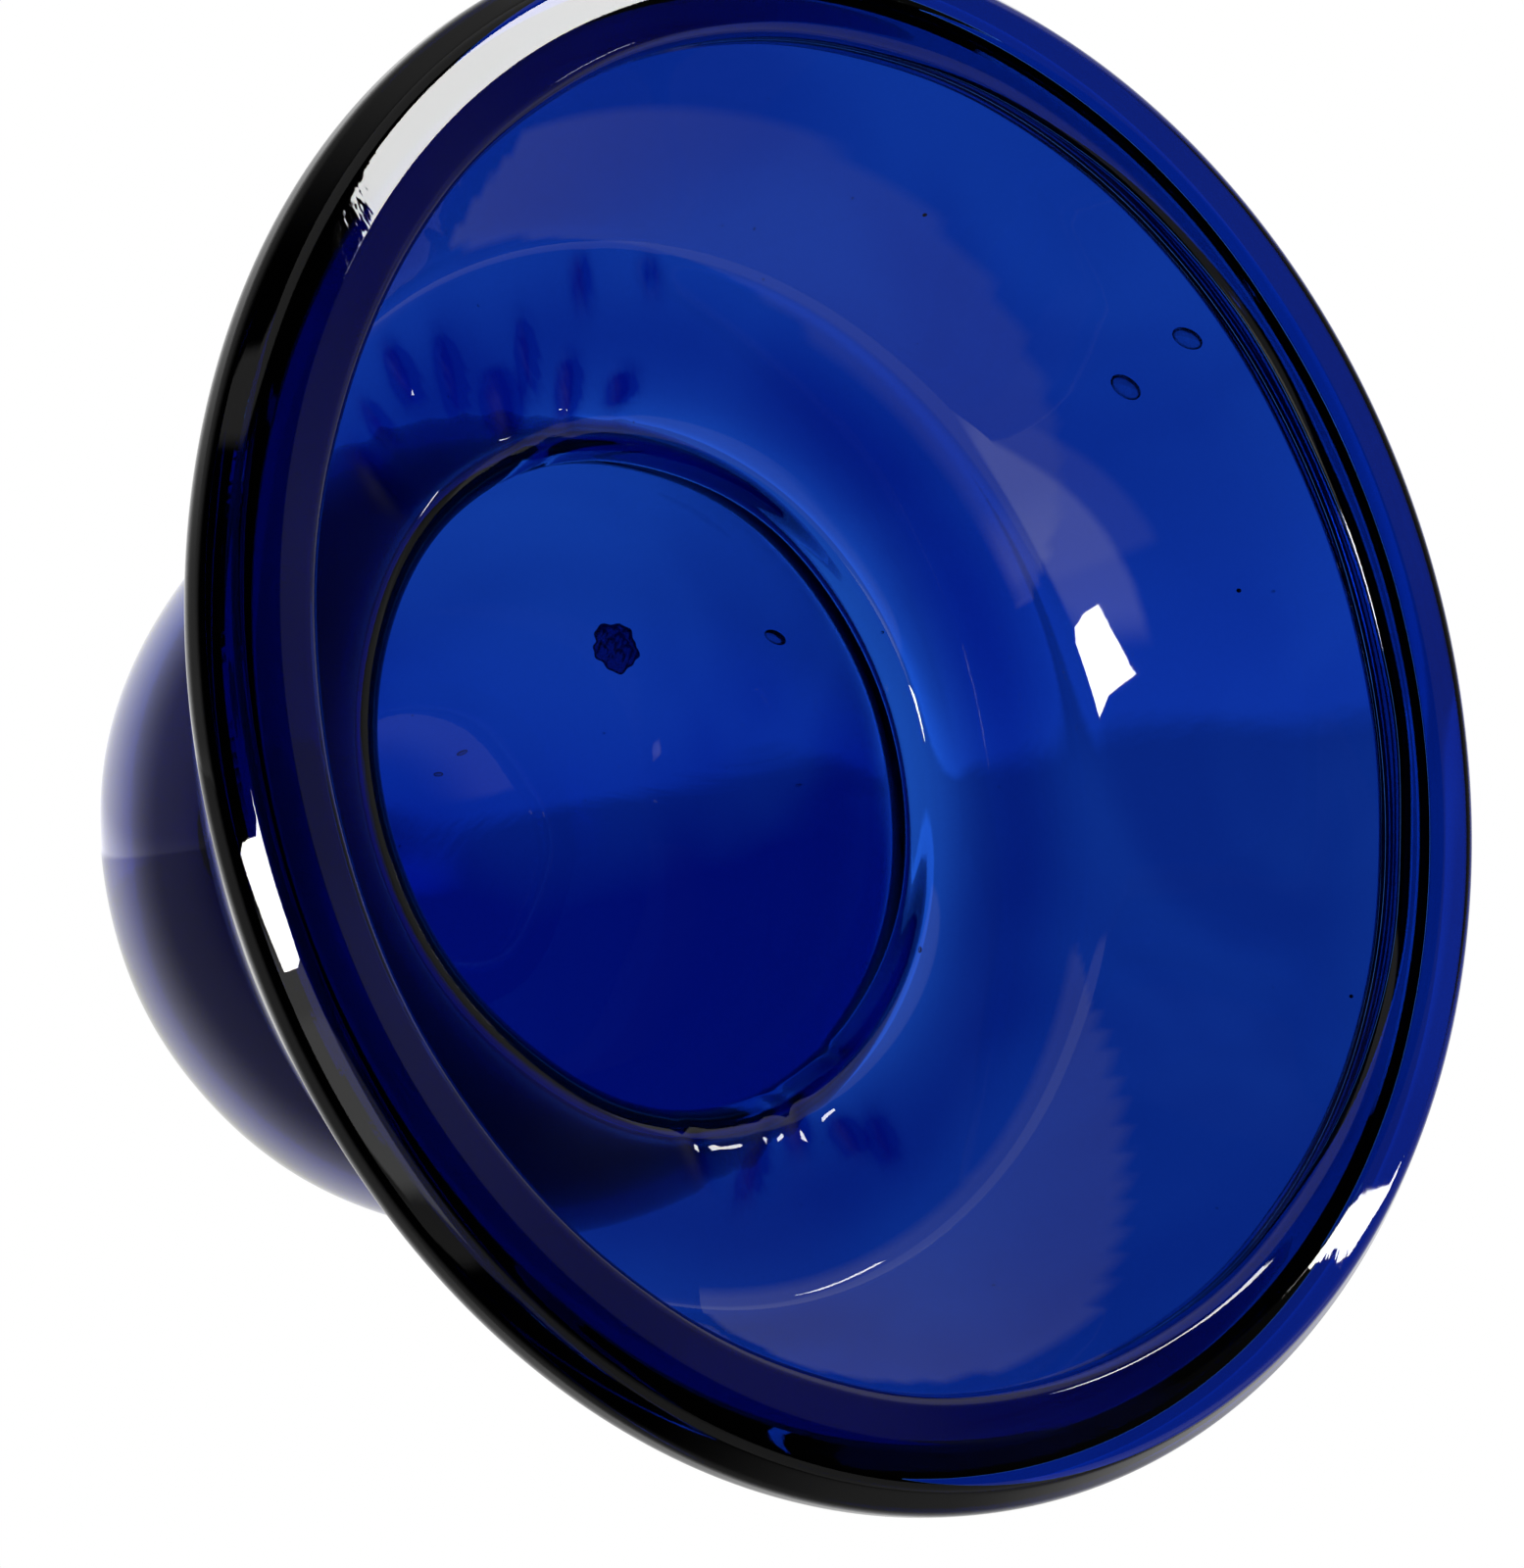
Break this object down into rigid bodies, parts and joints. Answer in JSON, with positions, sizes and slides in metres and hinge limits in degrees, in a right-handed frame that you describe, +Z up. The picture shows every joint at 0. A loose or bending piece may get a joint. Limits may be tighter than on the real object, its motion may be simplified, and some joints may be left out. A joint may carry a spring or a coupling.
{
  "type": "glass bell",
  "caption": "Blown cobalt glass bell with a heavy rolled rim, flared skirt, flat shoulder and hollow globe crown, hung by a glass loop and wire ring.",
  "frame": {"origin": "centre of the mouth, in the plane that the rim stands on", "axes": "+Z up the bell's own axis from the mouth to the crown; +X towards the side where the hanging ring lies at rest"},
  "size_m": [0.1524, 0.1524, 0.121],
  "materials": {
    "body_glass": "transparent cobalt blue glass, glossy, blown, with seeds and tooling marks",
    "rim_glass": "thick cobalt blue glass, glossy, fire polished",
    "scar_glass": "rough broken cobalt glass",
    "loop_glass": "solid drawn cobalt glass, glossy",
    "ring_brass": "drawn brass wire, slightly tarnished"
  },
  "bodies": {
    "bell": {"bell_body": "body_glass", "rim_wrap": "rim_glass", "punty_scar": "scar_glass", "crown_loop": "loop_glass"},
    "ring": {"hanging_ring": "ring_brass"}
  },
  "joints": [
    {"name": "ring_swing", "type": "hinge", "parent": "bell", "child": "ring", "pos_m": [0, 0, 0.1135], "axis": [0, -1, 0], "range_deg": [0, 222]}
  ]
}
